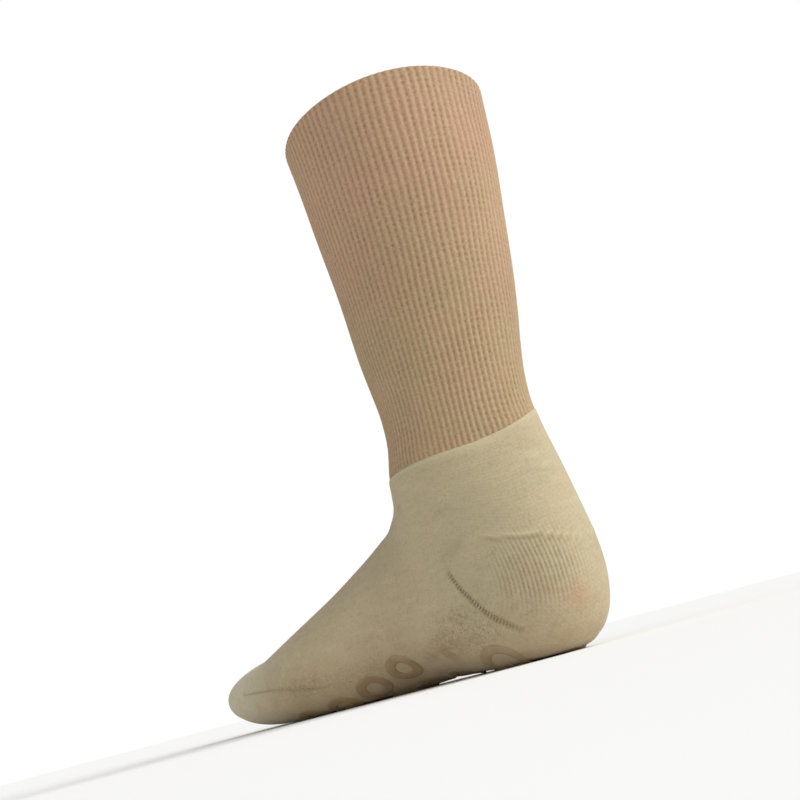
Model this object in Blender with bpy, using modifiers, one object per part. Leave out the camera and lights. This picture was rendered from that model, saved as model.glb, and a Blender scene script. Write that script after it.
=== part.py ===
"""Slipper sock: ribbed leg and terry foot knitted as one hollow piece, with grip rings printed under it.

Metres, standing empty on a floor at z = 0. The toe points to -Y, the big toe's side is +X, and the
origin is under the middle of the whole. "Along" is the distance from the back of the heel to the toe.
"""
import math

import bmesh
import bpy
import numpy as np
from mathutils import Vector
from mathutils.bvhtree import BVHTree

# Outside sizes of the knit, worn on a foot
FOOT_LENGTH = 0.245
SOCK_HEIGHT = 0.279
INSTEP_HEIGHT = 0.0995
BALL_WIDTH = 0.0955
HEEL_WIDTH = 0.0642
ANKLE_WIDTH = 0.0675
ANKLE_DEPTH = 0.0773
COLLAR_WIDTH = 0.100
COLLAR_DEPTH = 0.1117

# Fabric
LEG_WALL = 0.0018
FOOT_WALL = 0.0026
FOOT_STEP = 0.0006
FOOT_STEP_FADE = 0.040
RIB_LINE_RISE = 0.013
RIB_LINE_FADE_UP = 0.070
RIB_LINE_FADE_DOWN = 0.045
ARCH_RISE = 0.008
TOE_TIP_SIDE = 0.0155
TOE_TIP_HEIGHT = 0.018

# Silicone rings
RING_OUTER = 0.019
RING_HOLE = 0.0085
RING_GAP_ALONG = 0.003
RING_GAP_ACROSS = 0.0045
HEEL_RING_OUTER = 0.0235
HEEL_RING_HOLE = 0.0135
HEEL_RING_GAP = 0.003
RING_HEIGHT = 0.0008
RING_DRAFT = 0.0003
CLEARANCE = 0.0003

# Mesh density
AROUND = 36
LEG_LOOPS = 12
FOOT_LOOPS = 30
TOE_LOOPS = 7
RING_STEPS = 16
GUIDE_AROUND = 144
GUIDE_LOOPS = 100

# Leg sections, rim to rib line. up: share of the leg's height. wide and deep: how far the section has
# grown from the ankle's size to the collar's. back: share of FOOT_LENGTH. widest: where across the
# section it is widest, from its front. The powers shape the front and the back half.
LEG_SECTIONS = (
    # up, wide, deep, back, widest, front power, back power
    (1.00, 1.00, 1.00, -0.024, 0.55, 2.00, 2.05),
    (0.66, 0.66, 0.66, -0.002, 0.55, 1.98, 2.00),
    (0.33, 0.30, 0.30, 0.032, 0.54, 1.95, 1.90),
    (0.08, 0.04, 0.06, 0.055, 0.52, 1.90, 1.80),
    (0.00, 0.03, 0.20, 0.052, 0.50, 1.90, 1.80),
)

# Heel and foot sections, rib line to the root of the toes. Each is a slice that turns from level at the
# ankle to upright at the toes. Along: shares of FOOT_LENGTH. Heights: shares of INSTEP_HEIGHT, where a
# sole below 0 is pressed flat. Inner and outer reach: shares of HEEL_WIDTH, then of BALL_WIDTH.
HEEL_SECTIONS = (
    # front along, front height, back along, back height, inner, outer, widest, front power, back power
    (0.408, 0.930, 0.030, 0.800, 0.520, 0.520, 0.50, 1.90, 1.90),
    (0.416, 0.900, 0.012, 0.610, 0.505, 0.510, 0.50, 1.90, 2.05),
    (0.424, 0.880, 0.000, 0.420, 0.500, 0.505, 0.51, 1.90, 2.15),
    (0.431, 0.862, 0.006, 0.220, 0.490, 0.500, 0.53, 1.90, 2.30),
    (0.440, 0.842, 0.038, 0.050, 0.485, 0.500, 0.56, 1.90, 2.40),
    (0.452, 0.818, 0.100, -0.022, 0.485, 0.505, 0.58, 1.90, 2.45),
    (0.470, 0.785, 0.180, -0.026, 0.490, 0.520, 0.58, 1.88, 2.45),
)
FOOT_SECTIONS = (
    (0.492, 0.755, 0.262, -0.012, 0.345, 0.372, 0.58, 1.86, 2.40),
    (0.522, 0.715, 0.360, 0.010, 0.355, 0.385, 0.57, 1.86, 2.30),
    (0.562, 0.665, 0.460, 0.006, 0.385, 0.415, 0.56, 1.88, 2.30),
    (0.612, 0.600, 0.552, -0.018, 0.430, 0.455, 0.54, 1.92, 2.35),
    (0.668, 0.535, 0.640, -0.024, 0.475, 0.495, 0.53, 1.96, 2.40),
    (0.728, 0.470, 0.720, -0.024, 0.500, 0.500, 0.52, 2.00, 2.40),
    (0.788, 0.415, 0.788, -0.024, 0.485, 0.455, 0.51, 2.05, 2.40),
    (0.845, 0.370, 0.845, -0.018, 0.450, 0.400, 0.50, 2.10, 2.30),
)

# Rings under the heel, in heel ring pitches from the first one
FIRST_RING_ALONG = 0.147
FIRST_RING_SIDE = -0.110
HEEL_RINGS = (
    # name, along, towards the inner side
    ("grip_heel_back", 0.00, 0.00),
    ("grip_heel_inner", 0.50, 0.97),
    ("grip_heel_front", 1.00, 0.04),
)

# Rings under the foot, one line a row. Middle: share of BALL_WIDTH. Inner and outer: in column pitches
# from the middle ring; the first row has no inner ring.
FOOT_RINGS = (
    # middle, inner, outer
    (0.052, None, 1.00),
    (0.029, 0.88, 1.00),
    (0.005, 1.02, 1.00),
    (-0.018, 1.16, 1.00),
    (-0.042, 1.30, 1.00),
)

TOE_POWER = 2.4
TOE_START = 0.32
TOE_END = 0.985
RIB_LINE_PEAK = -0.10
RIB_LINE_REACH = 0.24
ARCH_MIDDLE = 0.42
ARCH_REACH = 0.20
ARCH_TOP = 0.45
FINE_STEPS = 720


def bump(value):
    """1 at 0, falling smoothly to 0 at -1 and 1."""
    return math.cos(min(abs(value), 1.0) * math.pi / 2) ** 2


def control_sections():
    """All sections as rows of front along, front z, back along, back z, inner, outer and shape."""
    rows = []
    for up, wide, deep, back, widest, front_power, back_power in LEG_SECTIONS:
        height = INSTEP_HEIGHT + up * (SOCK_HEIGHT - INSTEP_HEIGHT)
        depth = ANKLE_DEPTH + deep * (COLLAR_DEPTH - ANKLE_DEPTH)
        reach = (ANKLE_WIDTH + wide * (COLLAR_WIDTH - ANKLE_WIDTH)) / 2
        along = back * FOOT_LENGTH
        rows.append((along + depth, height, along, height, reach, reach, widest, front_power, back_power))
    for width, table in ((HEEL_WIDTH, HEEL_SECTIONS), (BALL_WIDTH, FOOT_SECTIONS)):
        for front, front_up, back, back_up, inner, outer, *shape in table:
            front_end = (front * FOOT_LENGTH, front_up * INSTEP_HEIGHT)
            back_end = (back * FOOT_LENGTH, back_up * INSTEP_HEIGHT)
            rows.append((*front_end, *back_end, inner * width, outer * width, *shape))
    return np.array(rows)


def blend(rows, places, at):
    """The section at a place between the control sections, on a smooth curve through them."""
    slopes = np.gradient(rows, places, axis=0)
    i = min(int(np.searchsorted(places, at, side="right")) - 1, len(places) - 2)
    span = places[i + 1] - places[i]
    t = (at - places[i]) / span
    start = (1 + 2 * t) * (1 - t) ** 2 * rows[i] + t * (1 - t) ** 2 * span * slopes[i]
    end = t ** 2 * (3 - 2 * t) * rows[i + 1] + t ** 2 * (t - 1) * span * slopes[i + 1]
    return start + end


def section_points(row, swell, around):
    """Points evenly round one section, from the middle of its back towards the inner side."""
    front, front_z, back, back_z, inner, outer, widest, front_power, back_power = row
    turn = np.linspace(0, 2 * math.pi, FINE_STEPS + 1)
    power = np.where(np.cos(turn) > 0, back_power, front_power)
    deep = np.sign(np.cos(turn)) * np.abs(np.cos(turn)) ** (2 / power)
    depth = np.where(deep > 0, widest + (1 - widest) * deep, widest + widest * deep)
    reach = np.where(np.sin(turn) > 0, inner, outer) + swell
    side = np.sign(np.sin(turn)) * np.abs(np.sin(turn)) ** (2 / power) * reach
    length = math.hypot(back - front, back_z - front_z)
    depth = depth + swell / length * (2 * depth - 1)
    points = np.stack([side, front + depth * (back - front), front_z + depth * (back_z - front_z)], axis=1)
    walked = np.concatenate([[0], np.cumsum(np.linalg.norm(np.diff(points, axis=0), axis=1))])
    stops = np.linspace(0, walked[-1], around + 1)[:-1]
    return np.stack([np.interp(stops, walked, points[:, axis]) for axis in range(3)], axis=1)


def raise_rib_line(loop, distance):
    """Lift the loop at the outer side of its back, where the rib line stands higher."""
    fade = RIB_LINE_FADE_UP if distance < 0 else RIB_LINE_FADE_DOWN
    share = max(0.0, 1 - abs(distance) / fade)
    for index, point in enumerate(loop):
        turn = index / len(loop)
        turn = turn - 1 if turn > 0.5 else turn
        point[2] += RIB_LINE_RISE * share * bump((turn - RIB_LINE_PEAK) / RIB_LINE_REACH)


def shape_sole(loop, half_width):
    """Hollow the arch on the inner side, and press what is below the floor flat."""
    for point in loop:
        lengthwise = bump((point[1] / FOOT_LENGTH - ARCH_MIDDLE) / ARCH_REACH)
        across = min(max(point[0] / half_width, 0.0), 1.0)
        below = max(0.0, 1 - point[2] / (ARCH_TOP * INSTEP_HEIGHT))
        point[2] += ARCH_RISE * lengthwise * across * min(below, 1.0)
        point[2] = max(point[2], 0.0)


def toe_loops(last, count):
    """Close the last section over the toes."""
    root = last[:, 1].mean()
    full = (1 - TOE_START ** TOE_POWER) ** (1 / TOE_POWER)
    first_turn = math.asin(TOE_START)
    last_turn = math.pi / 2 * TOE_END
    for step in range(1, count + 1):
        forward = math.sin(first_turn + (last_turn - first_turn) * step / count)
        scale = (1 - forward ** TOE_POWER) ** (1 / TOE_POWER) / full
        loop = last * scale
        loop[:, 0] += TOE_TIP_SIDE * (1 - scale)
        loop[:, 1] = root + (FOOT_LENGTH - root) * (forward - TOE_START) / (1 - TOE_START)
        loop[:, 2] += TOE_TIP_HEIGHT * (1 - scale)
        yield loop


def knit_loops(around, leg_count, foot_count, toe_count):
    """Loops of the knit's outside from the rim to the toe, on the sole's own floor."""
    rows = control_sections()
    steps = [max(math.dist(a[0:2], b[0:2]), math.dist(a[2:4], b[2:4])) for a, b in zip(rows, rows[1:])]
    places = np.concatenate([[0], np.cumsum(steps)])
    rib_line = places[len(LEG_SECTIONS) - 1]
    leg = np.linspace(0, rib_line, leg_count)
    foot = np.linspace(rib_line + FOOT_STEP, places[-1], foot_count)
    loops = []
    for place in (*leg, *foot):
        row = blend(rows, places, place)
        distance = place - rib_line
        swell = FOOT_STEP * max(0.0, 1 - distance / FOOT_STEP_FADE) if distance > 0 else 0.0
        loop = section_points(row, swell, around)
        raise_rib_line(loop, distance)
        shape_sole(loop, row[4])
        loops.append(loop)
    loops.extend(toe_loops(loops[-1], toe_count))
    return np.array(loops)


def middle_of_box(loops):
    """Where the middle of the knit lies, side to side and along."""
    low = loops.reshape(-1, 3).min(axis=0)
    high = loops.reshape(-1, 3).max(axis=0)
    return (low[0] + high[0]) / 2, (low[1] + high[1]) / 2


def in_part_frame(loops, middle):
    """Turn side, along, height into X, Y, Z above the rings."""
    placed = np.empty_like(loops)
    placed[..., 0] = loops[..., 0] - middle[0]
    placed[..., 1] = middle[1] - loops[..., 1]
    placed[..., 2] = loops[..., 2] + RING_HEIGHT + CLEARANCE
    return placed


def skin_faces(loop_count, around):
    """Quads between the loops and one face over the toe's tip."""
    faces = []
    for row in range(loop_count - 1):
        for index in range(around):
            after = (index + 1) % around
            upper = row * around
            lower = upper + around
            faces.append((upper + index, upper + after, lower + after, lower + index))
    faces.append(tuple((loop_count - 1) * around + index for index in range(around)))
    return faces


def make_material(name, colour, roughness):
    material = bpy.data.materials.new(name)
    material.use_nodes = True
    shader = material.node_tree.nodes["Principled BSDF"]
    shader.inputs["Base Color"].default_value = (*colour, 1.0)
    shader.inputs["Roughness"].default_value = roughness
    shader.inputs["Metallic"].default_value = 0.0
    return material


def make_knit(collection, loops):
    """Leg and foot as an open skin, thickened inwards; the leg's wall is the thinner one."""
    mesh = bpy.data.meshes.new("knit_body")
    mesh.from_pydata([tuple(point) for loop in loops for point in loop], [], skin_faces(len(loops), AROUND))
    mesh.validate()
    mesh.shade_smooth()
    knit = bpy.data.objects.new("knit_body", mesh)
    collection.objects.link(knit)
    knit.data.materials.append(make_material("terry_knit", (0.46, 0.35, 0.23), 0.95))
    wall = knit.vertex_groups.new(name="wall")
    leg_points = LEG_LOOPS * AROUND
    wall.add(range(leg_points), LEG_WALL / FOOT_WALL, "REPLACE")
    wall.add(range(leg_points, len(mesh.vertices)), 1.0, "REPLACE")
    shell = knit.modifiers.new("wall", "SOLIDIFY")
    shell.thickness = FOOT_WALL
    shell.offset = -1.0
    shell.use_even_offset = True
    shell.use_quality_normals = True
    shell.vertex_group = wall.name
    return knit


def ring_places(middle):
    """Name, X, Y, outer size and hole of each ring, heel to toe."""
    pitch = HEEL_RING_OUTER + HEEL_RING_GAP
    side = FIRST_RING_SIDE * HEEL_WIDTH
    along = FIRST_RING_ALONG * FOOT_LENGTH
    for name, onward, inward in HEEL_RINGS:
        x = side + inward * pitch - middle[0]
        yield name, x, middle[1] - along - onward * pitch, HEEL_RING_OUTER, HEEL_RING_HOLE
    column = RING_OUTER + RING_GAP_ACROSS
    first_row = along + pitch + (HEEL_RING_OUTER + RING_OUTER + RING_GAP_ALONG) / 2
    for row, (share, inner, outer) in enumerate(FOOT_RINGS):
        y = middle[1] - first_row - row * (RING_OUTER + RING_GAP_ALONG)
        x = share * BALL_WIDTH - middle[0]
        yield f"grip_middle_{row + 1}", x, y, RING_OUTER, RING_HOLE
        yield f"grip_outer_{row + 1}", x - outer * column, y, RING_OUTER, RING_HOLE
        if inner is not None:
            yield f"grip_inner_{row + 1}", x + inner * column, y, RING_OUTER, RING_HOLE


def drape(point, centre, across, onward, normal, sole):
    """Lay a point of a flat ring on the sole, at its own height above it."""
    start = centre + point.x * across + point.y * onward + normal * INSTEP_HEIGHT / 4
    hit, facing, _, _ = sole.ray_cast(start, -normal)
    return hit + facing * (CLEARANCE + point.z)


def make_ring(collection, name, x, y, outer, hole, sole, material):
    """One printed ring: its profile spun flat, then laid on the sole around its place."""
    centre, normal, _, _ = sole.ray_cast(Vector((x, y, -INSTEP_HEIGHT)), Vector((0, 0, 1)))
    across = Vector((0, 1, 0)).cross(normal).normalized()
    onward = normal.cross(across)
    ring = bmesh.new()
    edge = outer / 2
    inside = hole / 2
    band = (edge + inside) / 2
    profile = (
        (edge, 0),
        (edge - RING_DRAFT, RING_HEIGHT),
        (band, RING_HEIGHT),
        (inside + RING_DRAFT, RING_HEIGHT),
        (inside, 0),
        (band, 0),
    )
    points = [ring.verts.new((radius, 0, height)) for radius, height in profile]
    edges = [ring.edges.new((a, b)) for a, b in zip(points, points[1:] + points[:1])]
    bmesh.ops.spin(ring, geom=points + edges, axis=(0, 0, 1), cent=(0, 0, 0), steps=RING_STEPS,
                   angle=2 * math.pi, use_merge=True)
    bmesh.ops.recalc_face_normals(ring, faces=ring.faces)
    for vertex in ring.verts:
        vertex.co = drape(vertex.co.copy(), centre, across, onward, normal, sole)
    mesh = bpy.data.meshes.new(name)
    ring.to_mesh(mesh)
    ring.free()
    mesh.shade_smooth()
    mesh.set_sharp_from_angle(angle=math.radians(40))
    mesh.materials.append(material)
    collection.objects.link(bpy.data.objects.new(name, mesh))


def make_sock():
    collection = bpy.data.collections.new("slipper_sock")
    bpy.context.scene.collection.children.link(collection)
    loops = knit_loops(AROUND, LEG_LOOPS, FOOT_LOOPS, TOE_LOOPS)
    middle = middle_of_box(loops)
    make_knit(collection, in_part_frame(loops, middle))
    guide = in_part_frame(knit_loops(GUIDE_AROUND, 2, GUIDE_LOOPS, TOE_LOOPS), middle)
    points = [Vector(point) for loop in guide for point in loop]
    sole = BVHTree.FromPolygons(points, skin_faces(len(guide), GUIDE_AROUND))
    silicone = make_material("grip_silicone", (0.30, 0.21, 0.13), 0.6)
    for name, x, y, outer, hole in ring_places(middle):
        make_ring(collection, name, x, y, outer, hole, sole, silicone)


for old in list(bpy.data.objects):
    bpy.data.objects.remove(old, do_unlink=True)
make_sock()
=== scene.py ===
"""Slipper sock, dressed: ribbed leg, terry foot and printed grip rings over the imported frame."""
import math

import bpy
import numpy as np
from mathutils import Matrix, Vector
from mathutils.bvhtree import BVHTree


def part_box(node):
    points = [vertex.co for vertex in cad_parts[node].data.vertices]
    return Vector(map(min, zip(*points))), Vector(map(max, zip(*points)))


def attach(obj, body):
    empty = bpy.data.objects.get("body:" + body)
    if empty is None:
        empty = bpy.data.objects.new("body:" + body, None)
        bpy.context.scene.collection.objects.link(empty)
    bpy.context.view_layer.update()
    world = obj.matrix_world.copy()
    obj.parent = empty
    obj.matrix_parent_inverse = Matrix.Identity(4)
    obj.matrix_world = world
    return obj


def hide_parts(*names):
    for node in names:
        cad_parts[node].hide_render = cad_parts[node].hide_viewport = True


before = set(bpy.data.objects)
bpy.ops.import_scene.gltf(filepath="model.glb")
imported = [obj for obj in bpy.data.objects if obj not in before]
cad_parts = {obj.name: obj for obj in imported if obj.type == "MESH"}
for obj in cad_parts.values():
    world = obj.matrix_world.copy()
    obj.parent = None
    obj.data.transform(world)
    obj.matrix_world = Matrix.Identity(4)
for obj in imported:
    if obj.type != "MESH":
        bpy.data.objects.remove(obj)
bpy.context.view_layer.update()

# Knit tube
# Leg and foot come off the knitting machine as one tube. Its loops are read off a smoothed copy of the
# packed knit, in slices that turn with the heel and close over the toes, as one net to lay pieces on.
KNIT_LOW, KNIT_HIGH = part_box("knit_body")
FOOT_LENGTH = 0.245
SOLE_UP = 0.0011
RIB_LINE_UP = 0.1006
HEEL_BACK = KNIT_LOW.y + FOOT_LENGTH
NET_COLUMNS = 144
NET_RAYS = 360
NET_LEG_ROWS = 12
NET_FOOT_ROWS = 46
NET_TOE_ROWS = 14
NET_TOP_DOWN = 0.0004
RIM_FACE_DEPTH = 0.0005
SMALLEST_LOOP = 0.0005
COLLAR_MIDDLE = (0.0, 0.0498)
# Slices from the rib line to the ball, in mm: front along, front up, back along, back up, middle
TURNING_SLICES = (
    (96.9, 99.5, 12.7, 99.5, 0.0),
    (100.0, 92.5, 7.4, 79.6, 0.0),
    (101.9, 89.6, 2.9, 60.7, 0.0),
    (103.9, 87.6, 0.0, 41.8, 0.0),
    (105.6, 85.8, 1.5, 21.9, 0.0),
    (107.8, 83.8, 9.3, 5.0, 0.0),
    (110.7, 81.4, 24.5, 0.0, 0.0),
    (115.2, 78.1, 44.1, 0.0, 0.0),
    (120.5, 75.1, 64.2, 0.0, 0.0),
    (127.9, 71.1, 88.2, 1.0, 0.5),
    (137.7, 66.2, 112.7, 0.6, 1.5),
    (149.9, 59.7, 135.2, 0.0, 3.0),
    (163.7, 53.2, 156.8, 0.0, 5.0),
    (178.4, 46.8, 176.4, 0.0, 7.0),
    (193.1, 41.3, 193.1, 0.0, 8.5),
    (207.0, 36.8, 207.0, 0.0, 9.5),
)
TOE_TIP = (15.5, 245.0, 18.0)


def on_foot(side, along, up):
    """A place on the foot: mm to the inner side, mm from the heel's back, mm above the sole."""
    return Vector((side / 1000, HEEL_BACK - along / 1000, SOLE_UP + up / 1000))


def pick_faces(mesh, wanted):
    """Leave only the wanted faces selected for the next step in edit mode."""
    for vertex in mesh.vertices:
        vertex.select = False
    for edge in mesh.edges:
        edge.select = False
    for face in mesh.polygons:
        face.select = wanted(face)


def smooth_outer_wall(node):
    """A free copy of the node's outer wall, smoothed."""
    bpy.ops.object.select_all(action="DESELECT")
    wall = node.copy()
    wall.data = node.data.copy()
    bpy.context.scene.collection.objects.link(wall)
    wall.parent = None
    wall.matrix_world = node.matrix_world.copy()
    wall.select_set(True)
    bpy.context.view_layer.objects.active = wall
    bpy.ops.object.transform_apply(location=True, rotation=True, scale=True)
    bpy.context.tool_settings.mesh_select_mode = (False, False, True)
    bpy.ops.object.mode_set(mode="EDIT")
    bpy.ops.mesh.select_all(action="SELECT")
    bpy.ops.mesh.remove_doubles(threshold=0.00001)
    bpy.ops.mesh.tris_convert_to_quads(face_threshold=math.radians(50), shape_threshold=math.radians(60))
    bpy.ops.object.mode_set(mode="OBJECT")
    pick_faces(wall.data, lambda face: face.normal.z > 0.9 and face.center.z > KNIT_HIGH.z - RIM_FACE_DEPTH)
    bpy.ops.object.mode_set(mode="EDIT")
    bpy.ops.mesh.delete(type="FACE")
    bpy.ops.mesh.separate(type="LOOSE")
    bpy.ops.object.mode_set(mode="OBJECT")
    walls = sorted(bpy.context.selected_objects, key=lambda half: half.dimensions.y)
    wall = walls.pop()
    for inner in walls:
        bpy.data.objects.remove(inner, do_unlink=True)
    smooth = wall.modifiers.new("smooth", "SUBSURF")
    smooth.levels = 2
    smooth.render_levels = 2
    bpy.context.view_layer.objects.active = wall
    bpy.ops.object.modifier_apply(modifier=smooth.name)
    return wall


def as_tree(piece):
    """The piece as a surface that rays and nearest places are taken on."""
    places = [vertex.co.copy() for vertex in piece.data.vertices]
    return BVHTree.FromPolygons(places, [tuple(face.vertices) for face in piece.data.polygons])


def slices_of_tube():
    """Centre, way back, way to the tip and lean of every slice, from the rim to the toes."""
    slices = []
    tip = Vector((0, -1, 0))
    top = KNIT_HIGH.z - NET_TOP_DOWN
    turning = np.array(TURNING_SLICES)
    line_middle = on_foot(0, (turning[0, 0] + turning[0, 2]) / 2, 0)
    for share in np.linspace(0, 1, NET_LEG_ROWS, endpoint=False):
        centre = Vector((COLLAR_MIDDLE[0], HEEL_BACK - COLLAR_MIDDLE[1], 0)).lerp(line_middle, share)
        centre.z = top + (RIB_LINE_UP - top) * share
        slices.append((centre, Vector((0, 1, 0)), tip, 0.0))
    steps = np.linspace(0, len(turning) - 1, NET_FOOT_ROWS)
    for step in steps:
        row = [np.interp(step, range(len(turning)), turning[:, item]) for item in range(5)]
        front = on_foot(row[4], row[0], row[1])
        back = on_foot(row[4], row[2], row[3])
        slices.append((front.lerp(back, 0.5), (back - front).normalized(), tip, 0.0))
    centre, down = slices[-1][0], slices[-1][1]
    tip = (on_foot(*TOE_TIP) - centre).normalized()
    for lean in np.linspace(0, math.pi / 2, NET_TOE_ROWS + 1)[1:]:
        slices.append((centre, down, tip, lean))
    return slices


def read_loop(tree, centre, back, tip, lean):
    """The tube's loop in one slice, from the back or sole towards the inner side, evenly spaced."""
    side = Vector((1, 0, 0))
    loop = []
    for turn in np.linspace(0, 2 * math.pi, NET_RAYS, endpoint=False):
        ray = (back * math.cos(turn) + side * math.sin(turn)) * math.cos(lean) + tip * math.sin(lean)
        hit = tree.ray_cast(centre, ray.normalized())[0]
        if hit is None:
            raise RuntimeError(f"no knit at {tuple(centre)} towards {tuple(ray)}")
        loop.append(hit)
    loop = np.array(loop + loop[:1])
    lengths = np.concatenate([[0], np.cumsum(np.linalg.norm(np.diff(loop, axis=0), axis=1))])
    if lengths[-1] < SMALLEST_LOOP:
        return np.repeat(loop[:1], NET_COLUMNS, axis=0)
    even = np.linspace(0, lengths[-1], NET_COLUMNS, endpoint=False)
    return np.stack([np.interp(even, lengths, loop[:, axis]) for axis in range(3)], axis=1)


outer_wall = smooth_outer_wall(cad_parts["knit_body"])
outer_tree = as_tree(outer_wall)
bpy.data.objects.remove(outer_wall, do_unlink=True)
tube_slices = slices_of_tube()
net = np.array([read_loop(outer_tree, *tube_slice) for tube_slice in tube_slices])
LINE_ROW = NET_LEG_ROWS
LAST_ROW = len(net) - 1
half_round = NET_COLUMNS // 2
padded_net = np.concatenate([2 * net[:1] - net[1:2], net, np.roll(net[-2:-1], half_round, axis=1)])
row_lengths = np.concatenate([[0], np.cumsum(np.linalg.norm(np.diff(net, axis=0), axis=2).mean(axis=1))])
leg_ups = net[:LINE_ROW + 1, :, 2].mean(axis=1)


def spline_weights(part):
    """Weights of the four nearest net points, for a smooth curve through all of them."""
    return (
        0.5 * (-part + 2 * part ** 2 - part ** 3),
        0.5 * (2 - 5 * part ** 2 + 3 * part ** 3),
        0.5 * (part + 4 * part ** 2 - 3 * part ** 3),
        0.5 * (-part ** 2 + part ** 3),
    )


def on_net(rows, turns):
    """Places on the tube at the given net rows and shares of a turn."""
    rows = np.clip(rows, 0, LAST_ROW)
    row = np.minimum(np.floor(rows).astype(int), LAST_ROW - 1)
    columns = (turns % 1.0) * NET_COLUMNS
    column = np.floor(columns).astype(int)
    places = 0
    for row_step, row_weight in enumerate(spline_weights(rows - row)):
        for column_step, column_weight in enumerate(spline_weights(columns - column)):
            point = padded_net[row + row_step, (column + column_step - 1) % NET_COLUMNS]
            places = places + point * (row_weight * column_weight)[..., None]
    return places


def outward(rows, turns):
    """Outward directions of the tube at the given net rows and shares of a turn."""
    rows = np.clip(rows, 0.02, LAST_ROW - 0.05)
    round_step = on_net(rows, turns + 0.002) - on_net(rows, turns - 0.002)
    down_step = on_net(np.clip(rows + 0.05, 0, LAST_ROW), turns) - on_net(rows - 0.05, turns)
    normal = np.cross(round_step, down_step)
    return normal / np.linalg.norm(normal, axis=-1, keepdims=True)


def rise(value):
    """1 at 0, falling smoothly to 0 at -1 and 1."""
    return np.cos(np.minimum(np.abs(value), 1.0) * np.pi / 2) ** 2


def ease(value):
    """0 up to 0, 1 from 1 on, smooth between."""
    value = np.clip(value, 0.0, 1.0)
    return value * value * (3 - 2 * value)


def knit_sheet(name, columns, rows):
    """A flat sheet of quads with its own UV map, to be laid round the tube."""
    bpy.ops.object.select_all(action="DESELECT")
    bpy.ops.mesh.primitive_grid_add(x_subdivisions=columns, y_subdivisions=rows, size=1, calc_uvs=True)
    sheet = bpy.context.active_object
    sheet.name = name
    sheet.data.name = name
    flat = np.empty(len(sheet.data.vertices) * 3)
    sheet.data.vertices.foreach_get("co", flat)
    flat = flat.reshape(-1, 3)
    turns = np.round((flat[:, 0] + 0.5) * columns) / columns
    courses = np.round((flat[:, 1] + 0.5) * rows).astype(int)
    return sheet, turns, courses


def lay_sheet(sheet, places, marks):
    """Put the sheet's points in place with their marks, and close its seam."""
    mesh = sheet.data
    mesh.vertices.foreach_set("co", places.ravel())
    for mark, values in marks.items():
        layer = mesh.attributes.new(mark, "FLOAT", "POINT")
        layer.data.foreach_set("value", values.astype(np.float32))
    mesh.update()
    bpy.ops.object.mode_set(mode="EDIT")
    bpy.ops.mesh.select_all(action="SELECT")
    bpy.ops.mesh.remove_doubles(threshold=0.000003)
    bpy.ops.object.mode_set(mode="OBJECT")
    bpy.ops.object.shade_smooth()


# Ribbed leg
# The leg is a wide, soft rib without a tight cuff, in tan cotton with a little pink in it. Each groove
# between two ribs shows a row of small gaps, grooves and gaps darkened with painted shade, and the ribs run
# on to a plain rounded rim.
RIBS = 84
RIB_COLUMNS = 5
GAP_PITCH = 0.0031
ROWS_A_GAP = 3
LEG_INSIDE_ROWS = 16
LEG_INSIDE_BELOW = 0.010
LIP_ROWS = 5
LEG_WALL = 0.0018
RIB_PROUD = 0.00016
RIB_STRAY = 0.07
GROOVE_DEPTH = 0.00022
GAP_DEPTH = 0.00014
INSIDE_RIB_DEPTH = 0.00035
RIM_PLAIN = 0.004
RIM_RELIEF = 0.45
RIB_LINE_RISE = 0.013
RIB_LINE_PEAK = -0.10
RIB_LINE_REACH = 0.24
LEG_TUCK = 0.0035
LEG_TUCK_EASE = 0.002
LEG_TUCK_DEPTH = 0.0004
SLACK = 0.00030
LEG_TOP_DOWN = 0.0002
leg_top = KNIT_HIGH.z - LEG_TOP_DOWN
rim_round = LEG_WALL / 2
outside_rows = ROWS_A_GAP * math.ceil((leg_top - rim_round - RIB_LINE_UP + LEG_TUCK) / GAP_PITCH)


def rib_line(turns):
    """Height at which the ribs end and the foot begins."""
    from_back = (turns + 0.5) % 1.0 - 0.5
    return RIB_LINE_UP + RIB_LINE_RISE * rise((from_back - RIB_LINE_PEAK) / RIB_LINE_REACH)


def row_at(up):
    """Net row of a height on the leg."""
    return np.interp(-up, -leg_ups, np.arange(LINE_ROW + 1))


def slack(places):
    """The small unevenness of knit that nothing fills, in metres."""
    x, y, z = places[:, 0], places[:, 1], places[:, 2]
    waves = np.sin(61 * x + 47 * z + 0.6) * np.sin(53 * y - 39 * z + 1.1)
    waves = waves + 0.6 * np.sin(97 * y + 71 * x + 2.0) * np.sin(88 * z - 31 * x + 0.4)
    return SLACK * waves


leg_rows = LEG_INSIDE_ROWS + LIP_ROWS + outside_rows
ribbed_leg, leg_turns, leg_courses = knit_sheet("ribbed_leg", RIBS * RIB_COLUMNS, leg_rows)
lip_turn = np.clip((leg_courses - LEG_INSIDE_ROWS) / LIP_ROWS, 0, 1) * math.pi
inside_ends = (RIB_LINE_UP - LEG_INSIDE_BELOW, leg_top - rim_round)
inside_up = np.interp(leg_courses, (0, LEG_INSIDE_ROWS), inside_ends)
outside_steps = np.maximum(leg_courses - LEG_INSIDE_ROWS - LIP_ROWS, 0)
outside_up = leg_top - rim_round - outside_steps * GAP_PITCH / ROWS_A_GAP
outside_up = np.maximum(outside_up, rib_line(leg_turns) - LEG_TUCK)
leg_up = np.where(leg_courses <= LEG_INSIDE_ROWS, inside_up, outside_up)
leg_up = leg_up + rim_round * np.sin(lip_turn)
leg_net_rows = row_at(leg_up)
straying = np.sin(71 * leg_up + 9 * leg_turns * 2 * np.pi)
straying = straying + 0.6 * np.sin(143 * leg_up - 5 * leg_turns * 2 * np.pi + 1.3)
strayed_turns = leg_turns + RIB_STRAY / RIBS * straying
leg_places = on_net(leg_net_rows, strayed_turns)
leg_out = outward(leg_net_rows, strayed_turns)
ribs_round = 0.5 + 0.5 * np.cos(2 * np.pi * RIBS * leg_turns)
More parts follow.
